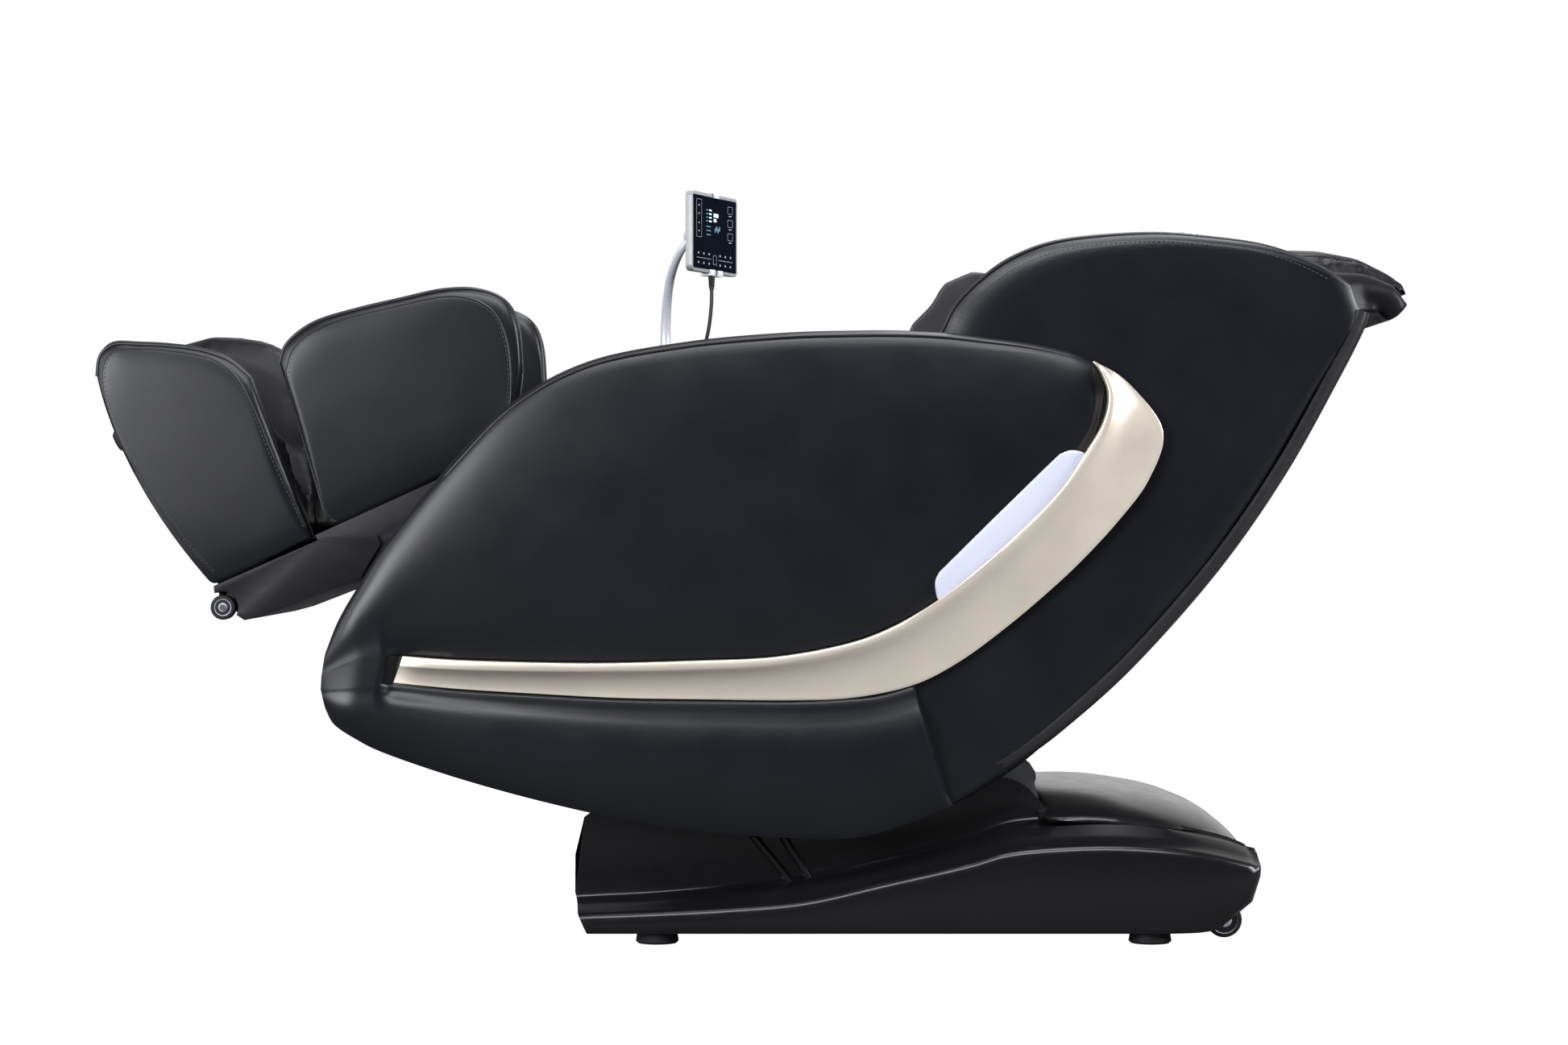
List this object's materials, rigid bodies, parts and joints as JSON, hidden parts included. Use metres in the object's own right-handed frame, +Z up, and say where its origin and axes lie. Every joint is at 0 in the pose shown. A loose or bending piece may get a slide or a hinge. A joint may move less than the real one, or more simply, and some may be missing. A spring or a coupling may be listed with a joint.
{
  "type": "massage chair",
  "caption": "Reclining massage chair with padded arms, tilting body, lifting and extending leg rest, moving massage carriage and a remote on a swivelling post.",
  "frame": {"origin": "on the floor, under the middle of the chair's length and width at rest", "axes": "+Z up, +X towards the head end, the person faces -X, +Y to the person's right, where the remote stands"},
  "size_m": [1.8119, 0.76, 1.06],
  "materials": {
    "leather": "soft satin polyurethane leather, fine grain",
    "trim": "champagne satin lacquer",
    "base_plastic": "black satin moulded cover",
    "leg_plastic": "dark warm grey moulded shell",
    "inner_plastic": "black moulded structural plastic",
    "light": "white translucent diffuser",
    "steel": "black powder-coated steel",
    "bright_steel": "bright turned steel",
    "rubber": "black rubber",
    "tyre": "grey rubber tread on a plastic hub",
    "beige_rubber": "beige elastomer",
    "silver": "silver satin tube",
    "holder": "silver-grey moulded clip",
    "case": "silver-white case",
    "screen": "black glass with a lit display",
    "switch_red": "dark red rocker",
    "supply": "cast housing with fins",
    "speaker": "blue-grey perforated cap"
  },
  "bodies": {
    "base": {"base_frame": "steel", "base_side_cover_left": "base_plastic", "base_side_cover_right": "base_plastic", "base_front_panel": "base_plastic", "base_rear_cover": "base_plastic", "base_feet": "rubber", "power_inlet": "inner_plastic", "power_supply": "supply", "air_pump": "inner_plastic"},
    "left_transport_wheel": {"transport_wheel_left": "tyre"},
    "right_transport_wheel": {"transport_wheel_right": "tyre"},
    "switch_rocker": {"power_switch": "switch_red"},
    "seat_body": {"seat_frame": "steel", "arm_frame_left": "inner_plastic", "arm_frame_right": "inner_plastic", "arm_side_pad_left": "leather", "arm_side_pad_right": "leather", "arm_trim_left": "trim", "arm_trim_right": "trim", "light_panel_left": "light", "light_panel_right": "light", "armrest_pad_left": "leather", "armrest_pad_right": "leather", "seat_cushion": "leather", "belly_pan": "inner_plastic", "post_housing": "inner_plastic"},
    "backrest": {"back_frame": "steel", "back_shell": "inner_plastic", "back_wing_left": "leather", "back_wing_right": "leather", "back_cushion": "leather", "head_pillow": "leather", "shoulder_pod_left": "leather", "shoulder_pod_right": "leather", "speakers": "speaker"},
    "carriage": {"carriage_frame": "steel"},
    "kneader": {"kneading_arms": "bright_steel"},
    "upper_heads": {"upper_massage_heads": "beige_rubber"},
    "lower_heads": {"lower_massage_heads": "beige_rubber"},
    "calf_rest": {"calf_frame": "steel", "calf_shell": "leg_plastic", "calf_side_left": "leather", "calf_side_right": "leather", "calf_cushion": "leather"},
    "foot_rest": {"foot_frame": "steel", "foot_shell": "leg_plastic", "foot_side_left": "leather", "foot_side_right": "leather", "foot_cushion": "leather", "sole_bumpers": "rubber"},
    "sole_roller_shaft": {"sole_rollers": "beige_rubber"},
    "left_heel_wheel": {"heel_wheel_left": "tyre"},
    "right_heel_wheel": {"heel_wheel_right": "tyre"},
    "remote_post": {"tablet_post": "silver", "tablet_cord": "rubber"},
    "remote": {"tablet_holder": "holder", "tablet_case": "case", "tablet_screen": "screen", "strain_relief": "rubber"}
  },
  "joints": [
    {"name": "body_tilt", "type": "hinge", "parent": "base", "child": "seat_body", "pos_m": [0.346, 0, 0.22], "axis": [0, -1, 0], "range_deg": [0, 13]},
    {"name": "back_recline", "type": "hinge", "parent": "seat_body", "child": "backrest", "pos_m": [0.225, 0, 0.371], "axis": [0, -1, 0], "range_deg": [0, 18]},
    {"name": "legrest_lift", "type": "hinge", "parent": "seat_body", "child": "calf_rest", "pos_m": [-0.373, 0, 0.62], "axis": [0, -1, 0], "range_deg": [0, 48]},
    {"name": "foot_extend", "type": "slide", "parent": "calf_rest", "child": "foot_rest", "axis": [-0.91, 0, -0.4147], "range_m": [0, 0.15]},
    {"name": "carriage_travel", "type": "slide", "parent": "backrest", "child": "carriage", "axis": [0.7934, 0, 0.6088], "range_m": [0, 0.29]},
    {"name": "knead_swing", "type": "hinge", "parent": "carriage", "child": "kneader", "pos_m": [0.40025, 0, 0.4689], "axis": [0, -1, 0], "range_deg": [-5, 5]},
    {"name": "upper_head_spin", "type": "hinge", "parent": "kneader", "child": "upper_heads", "pos_m": [0.43081, 0, 0.52764], "axis": [0, -1, 0], "continuous": true},
    {"name": "lower_head_spin", "type": "hinge", "parent": "kneader", "child": "lower_heads", "pos_m": [0.33561, 0, 0.45459], "axis": [0, -1, 0], "continuous": true},
    {"name": "sole_roller_spin", "type": "hinge", "parent": "foot_rest", "child": "sole_roller_shaft", "pos_m": [-0.802, 0, 0.626], "axis": [0, -1, 0], "continuous": true},
    {"name": "left_heel_wheel_spin", "type": "hinge", "parent": "foot_rest", "child": "left_heel_wheel", "pos_m": [-0.733, -0.23, 0.451], "axis": [0, -1, 0], "continuous": true},
    {"name": "right_heel_wheel_spin", "type": "hinge", "parent": "foot_rest", "child": "right_heel_wheel", "pos_m": [-0.733, 0.23, 0.451], "axis": [0, -1, 0], "continuous": true},
    {"name": "left_transport_wheel_spin", "type": "hinge", "parent": "base", "child": "left_transport_wheel", "pos_m": [0.628, -0.29, 0.031], "axis": [0, -1, 0], "continuous": true},
    {"name": "right_transport_wheel_spin", "type": "hinge", "parent": "base", "child": "right_transport_wheel", "pos_m": [0.628, 0.29, 0.031], "axis": [0, -1, 0], "continuous": true},
    {"name": "power_switch_rock", "type": "hinge", "parent": "base", "child": "switch_rocker", "pos_m": [0.668, -0.109, 0.08], "axis": [0, 1, 0], "range_deg": [-14, 0]},
    {"name": "post_swivel", "type": "hinge", "parent": "seat_body", "child": "remote_post", "pos_m": [-0.146, 0.3, 0.795], "axis": [0, 0, 1], "range_deg": [-40, 60]},
    {"name": "remote_tilt", "type": "hinge", "parent": "remote_post", "child": "remote", "pos_m": [-0.10438, 0.21289, 0.997], "axis": [0.3907, 0.9205, 0], "range_deg": [-15, 15]}
  ]
}
